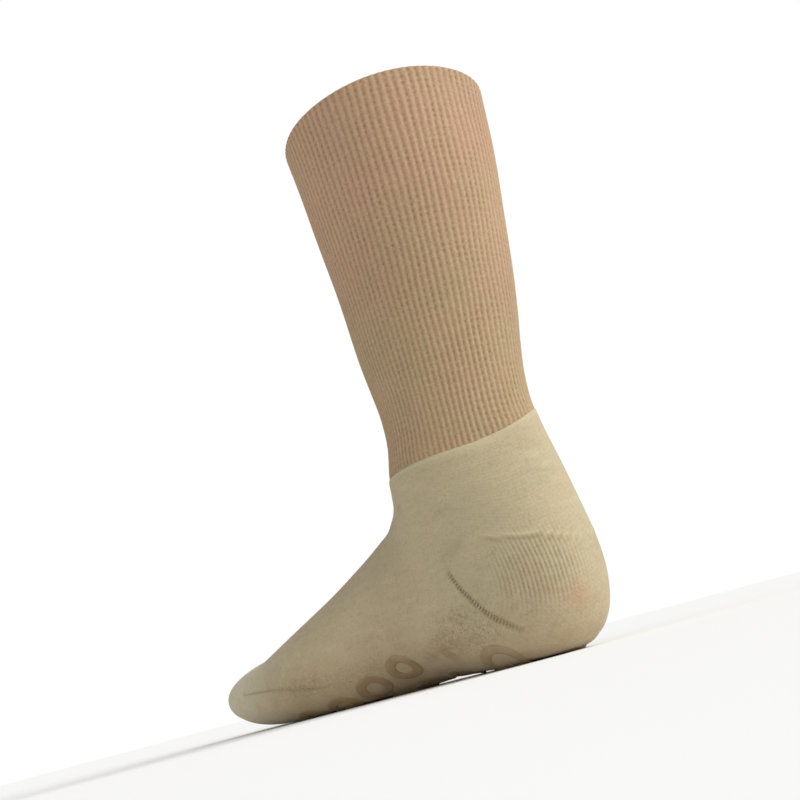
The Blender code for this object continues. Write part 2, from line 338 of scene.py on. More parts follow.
gap_rows = 0.5 + 0.5 * np.cos(2 * np.pi * leg_up / GAP_PITCH)
from_rim = ease((leg_top - leg_up) / RIM_PLAIN)
outside = (1 - np.cos(lip_turn)) / 2
rib_relief = RIB_PROUD - (RIB_PROUD + GROOVE_DEPTH) * (1 - ribs_round) ** 1.3
rib_relief = rib_relief - GAP_DEPTH * (1 - ribs_round) ** 2 * gap_rows ** 1.5 * from_rim
inside_relief = INSIDE_RIB_DEPTH * (ribs_round - 0.5)
leg_offset = -LEG_WALL * (1 - outside) + rib_relief * outside * (RIM_RELIEF + (1 - RIM_RELIEF) * from_rim)
leg_offset = leg_offset + inside_relief * (1 - outside) + slack(leg_places)
under_foot = ease((rib_line(leg_turns) - leg_up) / LEG_TUCK_EASE) * outside
leg_places = leg_places + leg_out * (leg_offset - LEG_TUCK_DEPTH * under_foot)[:, None]
leg_places[:, 2] = leg_up
lay_sheet(ribbed_leg, leg_places, {"outside": outside})


def paint(red, green, blue):
    """A colour as seen on the sock, 0 to 255, for the nodes."""
    shares = [value / 255 for value in (red, green, blue)]
    return [share / 12.92 if share < 0.04045 else ((share + 0.055) / 1.055) ** 2.4 for share in shares] + [1]


class Finish:
    """A material under work: its nodes, with short ways to add and join them."""

    def __init__(self, name):
        self.material = bpy.data.materials.new(name)
        self.material.use_nodes = True
        self.tree = self.material.node_tree
        self.shader = self.tree.nodes["Principled BSDF"]

    def node(self, kind, inputs=(), **settings):
        node = self.tree.nodes.new("ShaderNode" + kind)
        for setting, value in settings.items():
            setattr(node, setting, value)
        for socket, value in dict(inputs).items():
            self.feed(node.inputs[socket], value)
        return node

    def feed(self, socket, value):
        if isinstance(value, bpy.types.NodeSocket):
            self.tree.links.new(value, socket)
        else:
            socket.default_value = value

    def math(self, operation, *values):
        return self.node("Math", dict(enumerate(values)), operation=operation).outputs[0]

    def wave(self, value, count):
        """0 to 1 and back, count times as the value goes from 0 to 1, highest at 0."""
        angle = self.math("MULTIPLY", value, 2 * math.pi * count)
        return self.math("MULTIPLY_ADD", self.math("COSINE", angle), 0.5, 0.5)

    def step(self, value, low, high):
        """0 below low and 1 above high, smooth between."""
        inputs = {"Value": value, "From Min": low, "From Max": high}
        return self.node("MapRange", inputs, interpolation_type="SMOOTHSTEP").outputs["Result"]

    def mix(self, share, first, second, blend_type="MIX"):
        mixer = self.node("Mix", data_type="RGBA", blend_type=blend_type)
        self.feed(mixer.inputs[0], share)
        self.feed(mixer.inputs[6], first)
        self.feed(mixer.inputs[7], second)
        return mixer.outputs[2]

    def tint(self, colour, share, strength, shade):
        """The colour mixed with a shade, by a share times a strength."""
        return self.mix(self.math("MULTIPLY", share, strength), colour, paint(*shade))

    def noise(self, where, scale, detail=2.0, roughness=0.5):
        inputs = {"Vector": where, "Scale": scale, "Detail": detail, "Roughness": roughness}
        return self.node("TexNoise", inputs).outputs["Fac"]

    def mark(self, name):
        return self.node("Attribute", attribute_name=name, attribute_type="GEOMETRY").outputs["Fac"]

    def bump(self, height, distance, strength=1.0, under=None):
        inputs = {"Height": height, "Distance": distance, "Strength": strength}
        if under is not None:
            inputs["Normal"] = under
        return self.node("Bump", inputs).outputs["Normal"]

    def done(self, colour, roughness, normal=None, sheen=0.0):
        self.feed(self.shader.inputs["Base Color"], colour)
        self.feed(self.shader.inputs["Roughness"], roughness)
        if normal is not None:
            self.feed(self.shader.inputs["Normal"], normal)
        self.feed(self.shader.inputs["Sheen Weight"], sheen)
        self.feed(self.shader.inputs["Specular IOR Level"], 0.25)
        return self.material


def rib_finish():
    """Cotton rib: pale crests, grooves and gaps darkened with painted shade, a painted highlight on the crest
    stitches, and a pinker top.
    """
    rib = Finish("ribbed_cotton")
    place = rib.node("TexCoord")
    split = rib.node("SeparateXYZ", {0: place.outputs["Object"]})
    turn = rib.node("SeparateXYZ", {0: place.outputs["UV"]}).outputs["X"]
    wander = rib.noise(place.outputs["Object"], 260.0)
    up = rib.math("MULTIPLY_ADD", wander, GAP_PITCH * 0.35, split.outputs["Z"])
    crest = rib.wave(turn, RIBS)
    rows = rib.wave(up, 1 / GAP_PITCH)
    from_crest = rib.math("PINGPONG", rib.math("MULTIPLY", turn, RIBS), 0.5)
    chain_up = rib.math("MULTIPLY_ADD", from_crest, GAP_PITCH * 0.45, up)
    chain = rib.math("MULTIPLY", rib.wave(chain_up, 2 / GAP_PITCH), crest)
    groove = rib.math("POWER", rib.math("SUBTRACT", 1.0, crest), 1.4)
    strength = rib.step(rib.noise(place.outputs["Object"], 75.0, 4.0, 0.6), 0.36, 0.64)
    # Painted shade: the small gaps in the grooves are painted dark brown.
    gap = rib.math("MULTIPLY", rib.math("POWER", rows, 1.6), rib.math("POWER", groove, 1.5))
    gap = rib.math("MULTIPLY", gap, rib.math("MULTIPLY_ADD", strength, 0.62, 0.18))
    gap = rib.math("MULTIPLY", gap, rib.mark("outside"))
    pink_up = rib.step(split.outputs["Z"], 0.15, 0.25)
    patches = rib.step(rib.noise(place.outputs["Object"], 34.0, 4.0, 0.6), 0.38, 0.64)
    pink = rib.math("MULTIPLY_ADD", patches, 0.42, rib.math("MULTIPLY", pink_up, 0.68))
    crest_colour = rib.mix(pink, paint(171, 149, 114), paint(184, 147, 119))
    groove_shade_colour = rib.mix(pink, paint(159, 137, 102), paint(167, 132, 104))
    # Painted shade: the grooves are painted darker than the crests, and the gaps darker still.
    colour = rib.mix(groove, crest_colour, groove_shade_colour)
    colour = rib.mix(gap, colour, paint(136, 109, 80))
    # Painted highlight: the stitches on the crests are painted lighter.
    colour = rib.tint(colour, chain, 0.12, (205, 179, 146))
    speckle = rib.noise(place.outputs["Object"], 760.0, 3.0, 0.6)
    colour = rib.tint(colour, rib.step(speckle, 0.48, 0.72), 0.4, (196, 171, 139))
    colour = rib.tint(colour, rib.step(speckle, 0.50, 0.28), 0.4, (146, 116, 88))
    shade = rib.math("MULTIPLY_ADD", rib.noise(place.outputs["Object"], 14.0), 0.24, 0.88)
    grey = rib.node("CombineXYZ", {axis: shade for axis in range(3)}).outputs[0]
    colour = rib.mix(1.0, colour, grey, "MULTIPLY")
    raised = rib.math("MULTIPLY_ADD", crest, 0.5, rib.math("MULTIPLY", chain, 0.35))
    height = rib.math("SUBTRACT", raised, gap)
    fibre = rib.noise(place.outputs["Object"], 1500.0, 3.0)
    normal = rib.bump(height, 0.00030, 0.40, rib.bump(fibre, 0.00022, 0.6))
    return rib.done(colour, 0.92, normal, 0.12)


ribbed_leg.data.materials.append(rib_finish())
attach(ribbed_leg, "root")
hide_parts("knit_body")

# Terry foot
# The foot is plain knit with terry loops inside, thicker than the rib, so it stands a little proud where
# the ribs end. The heel pocket shows its wales, and it is joined along a dark laddered line on each side.
FOOT_COLUMNS = 432
FOOT_ROWS = 224
WALES = 144
COURSES = 230
FOOT_WALL = 0.0026
EDGE_STEPS = (0.0, 0.0003, 0.0007, 0.0013, 0.0022, 0.0034)
EDGE_TUCK = 0.0009
EDGE_TUCK_REACH = 0.0006
EDGE_PROUD = 0.00042
EDGE_ROUND = 0.0007
EDGE_REACH = 0.011
EDGE_FADE = 0.010
EDGE_BAND = 0.0032
EDGE_BAND_FADE = 0.0022
FOOT_SLACK = 0.6
SOLE_SWELL = 0.00065
SOLE_FLATNESS = 0.7
SOLE_TURN = 0.80
SOLE_TURN_FADE = 0.18
GORE_DEPTH = 0.00045
GORE_TOP_DEPTH = 0.00018
TOE_LINE_DEPTH = 0.00014
BAR_PITCH = 0.0016
POCKET_RIDGE = 0.00028
POCKET_WIDTH = 0.0010
POCKET_FADE_IN = 0.008
POCKET_FADE_OUT = 0.020
POCKET_FAINTEST = 0.35
POCKET_SHADE_DOWN = 0.0016
POCKET_SHADE_WIDTH = 0.0009
POCKET_UP = 0.038
WALE_RELIEF = 0.00009
WALE_LEAN = -1.2
WALE_STRENGTH = 1.5
# Lines on the inner side in mm: to the inner side, from the heel's back, above the sole
GORE_LINE = (
    (30.8, 59.0, 48.8), (31.1, 53.8, 38.3), (30.7, 47.3, 29.6), (29.5, 41.4, 22.6), (27.5, 35.3, 17.6),
    (25.5, 30.9, 14.2), (23.1, 27.2, 11.1),
)
GORE_TOP = (
    (31.7, 42.0, 59.5), (31.8, 46.0, 57.5), (31.6, 50.0, 55.4), (31.2, 55.6, 54.8), (30.8, 59.4, 53.3),
    (30.8, 59.0, 48.8),
)
POCKET_LINE = (
    (30.6, 36.0, 58.0), (28.9, 27.0, 55.3), (27.2, 22.3, 54.1), (24.4, 16.6, 52.9), (20.7, 11.2, 51.7),
    (17.1, 7.4, 50.4), (10.8, 2.9, 47.5), (3.2, 0.6, 46.2),
)
TOE_LINE = (
    (35.6, 138.0, 11.8), (37.7, 142.0, 12.8), (39.4, 150.0, 12.2), (41.7, 156.0, 13.2), (43.5, 162.0, 14.0),
    (45.3, 167.0, 15.6), (46.5, 171.6, 16.4), (47.3, 180.0, 17.4), (46.0, 196.0, 18.6), (40.0, 214.0, 19.4),
)
# Width of a soft line and the length over which it fades in and out, in metres
GORE_SOFT = (0.0012, 0.006, 0.012)
GORE_TOP_SOFT = (0.0022, 0.006, 0.004)
TOE_LINE_SOFT = (0.0009, 0.015, 0.020)
TRACE_STEP = 0.0004
TRACE_SMOOTHINGS = 30
TRACE_REACH = 0.012
# Soft spots, each with its weight, centre and reach, in mm: to the inner side, along the foot, up
WALE_SPOTS = ((1.0, (24, 15, 37), (34, 30, 25)), (0.7, (-24, 15, 37), (34, 30, 25)))
PINK_SPOTS = (
    (1.0, (13, 5, 22), (12, 12, 10)), (0.8, (22, 14, 27), (9, 9, 7)),
    (0.5, (24, 18, 36), (10, 12, 10)), (0.4, (44, 150, 20), (14, 26, 14)),
)
# Painted shade in the hollow of the arch, as darker brown spots.
ARCH_SHADE_SPOTS = ((1.0, (29, 73, 13), (15, 15, 12)), (0.8, (29, 86, 11), (11, 11, 9)))
TERRY_SPOTS = (
    (1.6, (30, 56, 20), (16, 30, 17)), (1.2, (38, 110, 12), (18, 50, 11)), (1.1, (44, 160, 14), (14, 30, 8)),
)
# Creases across the front of the ankle and down the inner side, as soft spots weighted in metres
CREASES = (
    (-0.0006, (0, 99, 88), (60, 10, 6.5)), (0.0004, (4, 103, 81), (58, 10, 6)),
    (-0.0005, (-6, 107, 76), (46, 10, 6)), (-0.0004, (31, 70, 44), (14, 5, 26)),
    (-0.0003, (33, 84, 36), (14, 4, 22)),
)


def mirrored(line):
    """The same line on the outer side."""
    return tuple((-side, along, up) for side, along, up in line)


def trace(line):
    """The line drawn on the knit, as close places."""
    corners = np.array([on_foot(*point) for point in line])
    lengths = np.concatenate([[0], np.cumsum(np.linalg.norm(np.diff(corners, axis=0), axis=1))])
    fine = np.arange(0, lengths[-1], TRACE_STEP)
    places = np.stack([np.interp(fine, lengths, corners[:, axis]) for axis in range(3)], axis=1)
    for _ in range(TRACE_SMOOTHINGS):
        places[1:-1] = (places[:-2] + places[1:-1] * 2 + places[2:]) / 4
    return np.array([outer_tree.find_nearest(Vector(place))[0] for place in places])


def from_trace(places, drawn):
    """Each place's distance from the drawn line, and how far along it that is."""
    away = np.full(len(places), 1.0)
    along = np.zeros(len(places))
    near = np.linalg.norm(places - drawn.mean(axis=0), axis=1) < TRACE_REACH + np.ptp(drawn, axis=0).max()
    steps = np.gradient(drawn, axis=0)
    lengths = np.concatenate([[0], np.cumsum(np.linalg.norm(np.diff(drawn, axis=0), axis=1))])
    ways = steps / np.linalg.norm(steps, axis=1, keepdims=True)
    chosen = places[near]
    distances = np.linalg.norm(chosen[:, None] - drawn[None], axis=2)
    nearest = distances.argmin(axis=1)
    gone = ((chosen - drawn[nearest]) * ways[nearest]).sum(axis=1)
    beside = distances.min(axis=1) ** 2 - np.clip(gone, -TRACE_STEP, TRACE_STEP) ** 2
    away[near] = np.sqrt(np.maximum(beside, 0))
    along[near] = lengths[nearest] + gone
    return away, along, lengths[-1]


def blob(places, centre, reach):
    """1 at a place on the foot, falling to 0 at its reach, in mm along each way."""
    parts = (places - np.array(on_foot(*centre))) / (np.array(reach) / 1000)
    return rise(np.minimum(np.linalg.norm(parts, axis=1), 1.0))


def blobs(places, spots):
    """The blobs at all the spots, each times its weight, added up."""
    total = 0
    for weight, centre, reach in spots:
        total = total + weight * blob(places, centre, reach)
    return total


def both_sides(line):
    """How far the foot's points are from the line and how far along it, for the inner and the outer line."""
    return [from_trace(foot_form, trace(side_line)) for side_line in (line, mirrored(line))]


def mark_line(name, away, width, ends):
    """Add a line to a mark, fading over its width and towards its ends."""
    foot_marks[name] = np.maximum(foot_marks[name], np.exp(-(away / width) ** 2) * ends)


def mark_both(name, sides, width, fade_in, fade_out):
    """Add the inner and the outer line to a mark, with a fade at either end."""
    for away, along, total in sides:
        mark_line(name, away, width, ease(along / fade_in) * ease((total - along) / fade_out))


terry_foot, foot_turns, foot_courses = knit_sheet("terry_foot", FOOT_COLUMNS, FOOT_ROWS)
edge_length = np.interp(row_at(rib_line(foot_turns)), np.arange(LAST_ROW + 1), row_lengths)
plain_share = np.clip((foot_courses - len(EDGE_STEPS) + 1) / (FOOT_ROWS - len(EDGE_STEPS) + 1), 0, 1)
below_edge = np.interp(foot_courses, range(len(EDGE_STEPS)), EDGE_STEPS)
foot_length = edge_length + below_edge + (row_lengths[-1] - edge_length - EDGE_STEPS[-1]) * plain_share
foot_net_rows = np.interp(foot_length, row_lengths, np.arange(LAST_ROW + 1))
foot_form = on_net(foot_net_rows, foot_turns)
foot_out = outward(foot_net_rows, foot_turns)
down_from_edge = np.maximum(foot_length - edge_length, 0)

mark_names = ("gore", "gore_top", "pocket", "pocket_shadow", "toe_line")
foot_marks = {name: np.zeros(len(foot_form)) for name in mark_names}
gore_sides = both_sides(GORE_LINE)
mark_both("gore", gore_sides, *GORE_SOFT)
mark_both("gore_top", both_sides(GORE_TOP), *GORE_TOP_SOFT)
for away, along, total in both_sides(POCKET_LINE):
    fade = ease((total - along) / POCKET_FADE_OUT)
    ends = ease(along / POCKET_FADE_IN) * (POCKET_FAINTEST + (1 - POCKET_FAINTEST) * fade)
    mark_line("pocket", away, POCKET_WIDTH, ends)
    # A painted shadow just below the ridge of the pocket line.
    line_up = np.interp(along, (0, total), (POCKET_LINE[0][2], POCKET_LINE[-1][2])) / 1000 + SOLE_UP
    below = foot_form[:, 2] < line_up
    mark_line("pocket_shadow", away - POCKET_SHADE_DOWN, POCKET_SHADE_WIDTH, ends * below)
mark_both("toe_line", both_sides(TOE_LINE), *TOE_LINE_SOFT)
# A painted highlight on the proud edge of the foot just below the ribs.
edge_band = ease((EDGE_BAND - down_from_edge) / EDGE_BAND_FADE)
foot_marks["edge"] = ease(down_from_edge / EDGE_TUCK_REACH) * edge_band
(inner_away, inner_along, _), (outer_away, outer_along, _) = gore_sides
foot_marks["gore_along"] = np.where(outer_away < inner_away, outer_along, inner_along) * 1000
foot_marks["wales"] = np.clip(blobs(foot_form, WALE_SPOTS) * WALE_STRENGTH, 0, 1)
foot_marks["pink"] = np.clip(blobs(foot_form, PINK_SPOTS), 0, 1)
foot_marks["arch_shade"] = np.clip(blobs(foot_form, ARCH_SHADE_SPOTS), 0, 1)
foot_marks["terry"] = np.clip(blobs(foot_form, TERRY_SPOTS), 0, 1)

edge_relief = EDGE_PROUD * ease((EDGE_REACH - down_from_edge) / EDGE_FADE) * ease(down_from_edge / EDGE_ROUND)
edge_relief = edge_relief - EDGE_TUCK * (1 - ease(down_from_edge / EDGE_TUCK_REACH))
leaning_turns = foot_turns + WALE_LEAN * np.sin(2 * np.pi * foot_turns) * (foot_form[:, 2] - POCKET_UP)
wale_wave = np.cos(2 * np.pi * WALES * leaning_turns)
foot_offset = edge_relief + slack(foot_form) * FOOT_SLACK + blobs(foot_form, CREASES)
sole_under = ease((-foot_out[:, 2] - SOLE_TURN) / SOLE_TURN_FADE)
foot_offset = foot_offset + WALE_RELIEF * wale_wave * foot_marks["wales"]
foot_offset = foot_offset + POCKET_RIDGE * foot_marks["pocket"] - GORE_DEPTH * foot_marks["gore"]
foot_offset = foot_offset - GORE_TOP_DEPTH * foot_marks["gore_top"] - TOE_LINE_DEPTH * foot_marks["toe_line"]
foot_offset = foot_offset * (1 - SOLE_FLATNESS * sole_under) + SOLE_SWELL * sole_under
foot_places = foot_form + foot_out * foot_offset[:, None]
foot_places[:, 2] = np.maximum(foot_places[:, 2], SOLE_UP - SOLE_SWELL)
lay_sheet(terry_foot, foot_places, foot_marks)
foot_tree = as_tree(terry_foot)


def knit_grain(knit, place):
    """Shares of the fine stitches and of the leaning wales in the heel pocket."""
    up = knit.node("SeparateXYZ", {0: place.outputs["Object"]}).outputs["Z"]
    map_place = knit.node("SeparateXYZ", {0: place.outputs["UV"]})
    turn, down = map_place.outputs["X"], map_place.outputs["Y"]
    wale = knit.wave(turn, WALES)
    half_wale = knit.math("PINGPONG", knit.math("MULTIPLY", turn, WALES * 2), 1.0)
    course = knit.math("MULTIPLY_ADD", half_wale, 0.45 / COURSES, down)
    stitch = knit.math("MULTIPLY", knit.wave(course, COURSES), knit.math("MULTIPLY_ADD", wale, 0.5, 0.5))
    lean = knit.math("SINE", knit.math("MULTIPLY", turn, 2 * math.pi))
    lean = knit.math("MULTIPLY", lean, knit.math("SUBTRACT", up, POCKET_UP))
    return stitch, knit.wave(knit.math("MULTIPLY_ADD", lean, WALE_LEAN, turn), WALES)


def cotton_colour(knit, where):
    """Greenish beige cotton in soft patches and streaks, with painted shade making it darker tan towards the
    sole, darker patches low on the foot, painted shade in the arch hollow, and painted light making it paler
    at the toes.
    """
    split = knit.node("SeparateXYZ", {0: where})
    down = knit.math("MULTIPLY", split.outputs["Z"], -1.0)
    patches = knit.noise(where, 26.0, 4.0, 0.55)
    broad = knit.noise(where, 9.0, 2.0)
    colour = knit.mix(knit.step(patches, 0.38, 0.66), paint(186, 169, 137), paint(196, 179, 146))
    colour = knit.mix(knit.step(broad, 0.35, 0.70), colour, paint(184, 172, 139))
    blush = knit.step(knit.noise(where, 38.0, 3.0, 0.6), 0.50, 0.72)
    colour = knit.tint(colour, blush, 0.30, (196, 171, 141))
    stretched = knit.node("VectorMath", {0: where, 1: (70.0, 70.0, 260.0)}, operation="MULTIPLY").outputs[0]
    streak = knit.noise(stretched, 1.0, 4.0, 0.65)
    colour = knit.tint(colour, knit.step(streak, 0.48, 0.26), 0.22, (148, 132, 98))
    colour = knit.tint(colour, knit.step(streak, 0.54, 0.72), 0.25, (212, 198, 164))
    # Painted shade: the knit is painted a darker tan towards the sole.
    colour = knit.tint(colour, knit.step(down, -0.030, -0.004), 0.55, (178, 157, 124))
    # Painted light: the toes are painted paler, as if lit from above.
    toes = knit.step(knit.math("MULTIPLY", split.outputs["Y"], -1.0), 0.045, 0.110)
    colour = knit.tint(colour, toes, 0.85, (218, 210, 182))
    # Darker patches low on the foot, fewer towards the toes.
    low = knit.math("MULTIPLY", knit.step(down, -0.058, -0.012), knit.math("MULTIPLY_ADD", toes, -0.6, 1.0))
    low_patches = knit.math("MULTIPLY", knit.step(knit.noise(where, 105.0, 4.0, 0.62), 0.44, 0.66), low)
    colour = knit.tint(colour, low_patches, 0.34, (164, 139, 108))
    colour = knit.tint(colour, knit.mark("pink"), 0.44, (190, 148, 119))
    # Painted shade: the arch hollow is painted darker brown, ragged at its edge.
    arch_shade_edge = knit.step(knit.noise(where, 130.0, 3.0, 0.6), 0.34, 0.60)
    arch_shade = knit.math("MULTIPLY", knit.mark("arch_shade"), knit.math("MULTIPLY_ADD", arch_shade_edge, 0.50, 0.25))
    return knit.mix(arch_shade, colour, paint(141, 117, 86))


def pocket_colour(knit, where, colour, pocket_wale):
    """The colour with ragged dark lines of painted shade between the wales of the heel pocket."""
    wale_line = knit.math("POWER", knit.math("SUBTRACT", 1.0, pocket_wale), 2.2)
    ragged = knit.math("MULTIPLY_ADD", knit.step(knit.noise(where, 300.0, 3.0), 0.35, 0.60), 0.55, 0.45)
    wale_shade = knit.math("MULTIPLY", knit.math("MULTIPLY", wale_line, ragged), knit.mark("wales"))
    return knit.tint(colour, wale_shade, 0.50, (118, 100, 68))


def fleck_colour(knit, colour, cells, between):
    """The colour with dark and light flecks where the terry shows through, and dark dashes of painted shade
    between the stitches.
    """
    share = knit.math("MULTIPLY_ADD", knit.mark("terry"), 0.34, 0.20)
    dark_fleck = knit.math("MULTIPLY", knit.step(cells, 0.50, 0.30), share)
    colour = knit.mix(dark_fleck, colour, paint(126, 110, 80))
    # Painted shade: dark dashes between the stitches where the terry is.
    dash = knit.math("MULTIPLY", knit.math("POWER", between, 2.0), knit.mark("terry"))
    colour = knit.tint(colour, dash, 0.24, (122, 104, 74))
    light_fleck = knit.math("MULTIPLY", knit.step(cells, 0.54, 0.72), share)
    return knit.mix(light_fleck, colour, paint(208, 196, 164))


def line_colour(knit, colour):
    """The colour with a painted highlight along the pocket line and a painted shadow under it, a painted
    highlight on the edge below the ribs, the laddered gore and the toe line.
    """
    # Painted highlight along the ridge of the pocket line.
    colour = knit.tint(colour, knit.mark("pocket"), 0.55, (214, 198, 160))
    # Painted shadow under the pocket ridge.
    colour = knit.tint(colour, knit.mark("pocket_shadow"), 0.40, (132, 114, 82))
    # Painted highlight on the edge below the ribs.
    colour = knit.tint(colour, knit.mark("edge"), 0.40, (210, 196, 160))
    slit = knit.wave(knit.mark("gore_along"), 1 / (BAR_PITCH * 1000))
    slit = knit.math("MULTIPLY", knit.step(slit, 0.25, 0.75), knit.mark("gore"))
    colour = knit.tint(colour, knit.mark("gore"), 0.35, (132, 114, 82))
    colour = knit.tint(colour, slit, 0.60, (92, 76, 50))
    colour = knit.tint(colour, knit.mark("gore_top"), 0.20, (142, 118, 90))
    return knit.tint(colour, knit.mark("toe_line"), 0.28, (126, 110, 80))


def foot_finish():
    """Plain knit: fine stitches with painted shade between them, wales in the pocket, flecks of terry, darker
    patches low on the foot and dark lines.
    """
    knit = Finish("plain_terry_knit")
    place = knit.node("TexCoord")
    where = place.outputs["Object"]
    stitch, pocket_wale = knit_grain(knit, place)
    between = knit.math("SUBTRACT", 1.0, stitch)
    cells = knit.noise(where, 700.0, 3.0, 0.65)
    colour = pocket_colour(knit, where, cotton_colour(knit, where), pocket_wale)
    colour = line_colour(knit, fleck_colour(knit, colour, cells, between))
    # Painted shade between the stitches.
    colour = knit.tint(colour, between, 0.09, (110, 94, 66))
    pocket = knit.mark("wales")
    loops = knit.math("MULTIPLY", cells, knit.math("MULTIPLY_ADD", knit.mark("terry"), 1.0, 0.25))
    normal = knit.bump(knit.noise(where, 1700.0, 3.0, 0.6), 0.00014, 0.45)
    stitch_height = knit.math("MULTIPLY", stitch, knit.math("MULTIPLY_ADD", pocket, -0.8, 1.0))
    normal = knit.bump(stitch_height, 0.00016, 0.55, normal)
    normal = knit.bump(knit.math("MULTIPLY", pocket_wale, pocket), 0.00030, 0.55, normal)
    normal = knit.bump(loops, 0.00050, 0.75, normal)
    return knit.done(colour, 0.94, normal, 0.15)


terry_foot.data.materials.append(foot_finish())
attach(terry_foot, "root")
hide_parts("knit_body")

# Foot lining
# Inside, the foot is all terry loops, unbrushed and a little darker than the outside. It goes up past the
# rib line behind the leg's inner face.
LINING_COLUMNS = 144
LINING_ROWS = 110
LINING_TOP_UP = 0.016
LINING_DOWN = (0, 0.008, 0.024)
LINING_DEPTH = (0.0010, 0.0014, FOOT_WALL)
foot_lining, lining_turns, lining_courses = knit_sheet("foot_lining", LINING_COLUMNS, LINING_ROWS)
lining_top = float(np.interp(row_at(RIB_LINE_UP + LINING_TOP_UP), np.arange(LAST_ROW + 1), row_lengths))
lining_length = lining_top + (row_lengths[-1] - lining_top) * lining_courses / LINING_ROWS
lining_net_rows = np.interp(lining_length, row_lengths, np.arange(LAST_ROW + 1))
lining_form = on_net(lining_net_rows, lining_turns)
lining_depth = np.interp(lining_length - lining_top, LINING_DOWN, LINING_DEPTH)
lining_places = lining_form - outward(lining_net_rows, lining_turns) * lining_depth[:, None]
lay_sheet(foot_lining, lining_places, {})
bpy.ops.object.mode_set(mode="EDIT")
bpy.ops.mesh.select_all(action="SELECT")
bpy.ops.mesh.flip_normals()
bpy.ops.object.mode_set(mode="OBJECT")


def lining_finish():
    """Beige terry loops standing close together, with painted shade between them."""
    terry = Finish("terry_loops")
    where = terry.node("TexCoord").outputs["Object"]
    loops = terry.node("TexVoronoi", {"Vector": where, "Scale": 620.0}, feature="SMOOTH_F1")
    cells = loops.outputs["Distance"]
    patches = terry.noise(where, 40.0, 3.0)
    colour = terry.mix(terry.step(patches, 0.35, 0.65), paint(170, 156, 127), paint(184, 169, 138))
    # Painted shade between the loops.
    colour = terry.mix(terry.step(cells, 0.30, 0.80), colour, paint(146, 130, 102))
    tops = terry.math("SUBTRACT", 1.0, cells)
    height = terry.math("MULTIPLY_ADD", terry.noise(where, 1500.0, 3.0), 0.35, tops)
    return terry.done(colour, 0.96, terry.bump(height, 0.0005, 0.35), 0.15)


foot_lining.data.materials.append(lining_finish())
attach(foot_lining, "root")

# Gore ladders and toe stitches
# The slack loops of the joining line cross it as little bars, dark gaps between them, on both sides of the
# heel. Along the toes the knit is closed with a row of small looped stitches.
BAR_LENGTH = 0.0025
BAR_WIDTH = 0.00062
BAR_FLATNESS = 0.8
BAR_LEAN = 82
BAR_LIFT = 0.00012
GORE_SHARES = (0.05, 0.95)
TOE_STITCH_PITCH = 0.0019
TOE_STITCH_LENGTH = 0.0017
TOE_STITCH_WIDTH = 0.0005
TOE_STITCH_LEAN = 28
TOE_STITCH_LIFT = 0.00002
TOE_SHARES = (0.06, 0.94)
LINE_STEP = 0.001


def thread_bar(length, width):
    """One short bar of yarn along X, fat in the middle."""
    bpy.ops.object.select_all(action="DESELECT")
    bpy.ops.mesh.primitive_uv_sphere_add(segments=8, ring_count=6, radius=0.5)
    bar = bpy.context.active_object
    bpy.ops.object.mode_set(mode="EDIT")
    bpy.ops.mesh.select_all(action="SELECT")
    bpy.ops.transform.resize(value=(length, width, width * BAR_FLATNESS))
    bpy.ops.object.mode_set(mode="OBJECT")
    bpy.ops.object.shade_smooth()
    return bar


def stitched(name, first_bar, spots):
    """Copies of the bar at every spot, joined into one piece."""
    bars = []
    for spot in spots:
        bar = first_bar.copy()
        bar.data = first_bar.data.copy()
        bpy.context.scene.collection.objects.link(bar)
        bar.matrix_world = spot
        bars.append(bar)
    bpy.data.objects.remove(first_bar, do_unlink=True)
    bpy.ops.object.select_all(action="DESELECT")
    for bar in bars:
        bar.select_set(True)
    bpy.context.view_layer.objects.active = bars[0]
    bpy.ops.object.join()
    bpy.ops.object.transform_apply(location=True, rotation=True, scale=True)
    piece = bpy.context.active_object
    piece.name = name
    piece.data.name = name
    return piece


def spots_along(line, pitch, lean, lift, start, stop):
    """Places of the bars: a pitch apart along the line, turned lean degrees from it, lifted off the knit."""
    drawn = trace(line)
    lengths = np.concatenate([[0], np.cumsum(np.linalg.norm(np.diff(drawn, axis=0), axis=1))])
    spots = []
    for length in np.arange(lengths[-1] * start, lengths[-1] * stop, pitch):
        place = Vector([np.interp(length, lengths, drawn[:, axis]) for axis in range(3)])
        ahead = Vector([np.interp(length + LINE_STEP, lengths, drawn[:, axis]) for axis in range(3)])
        behind = Vector([np.interp(length - LINE_STEP, lengths, drawn[:, axis]) for axis in range(3)])
        surface, up, _, _ = foot_tree.find_nearest(place)
        way = (ahead - behind).normalized()
        way = (way - up * way.dot(up)).normalized()
        way = Matrix.Rotation(math.radians(lean), 3, up) @ way
        across = up.cross(way)
        turned = Matrix((way, across, up)).transposed().to_4x4()
        spots.append(Matrix.Translation(surface + up * lift) @ turned)
    return spots


gore_spots = spots_along(GORE_LINE, BAR_PITCH, BAR_LEAN, BAR_LIFT, *GORE_SHARES)
gore_spots += spots_along(mirrored(GORE_LINE), BAR_PITCH, 180 - BAR_LEAN, BAR_LIFT, *GORE_SHARES)
gore_ladders = stitched("gore_ladders", thread_bar(BAR_LENGTH, BAR_WIDTH), gore_spots)
toe_spots = spots_along(TOE_LINE, TOE_STITCH_PITCH, TOE_STITCH_LEAN, TOE_STITCH_LIFT, *TOE_SHARES)
toe_spots += spots_along(mirrored(TOE_LINE), TOE_STITCH_PITCH, -TOE_STITCH_LEAN, TOE_STITCH_LIFT, *TOE_SHARES)
toe_stitches = stitched("toe_stitches", thread_bar(TOE_STITCH_LENGTH, TOE_STITCH_WIDTH), toe_spots)


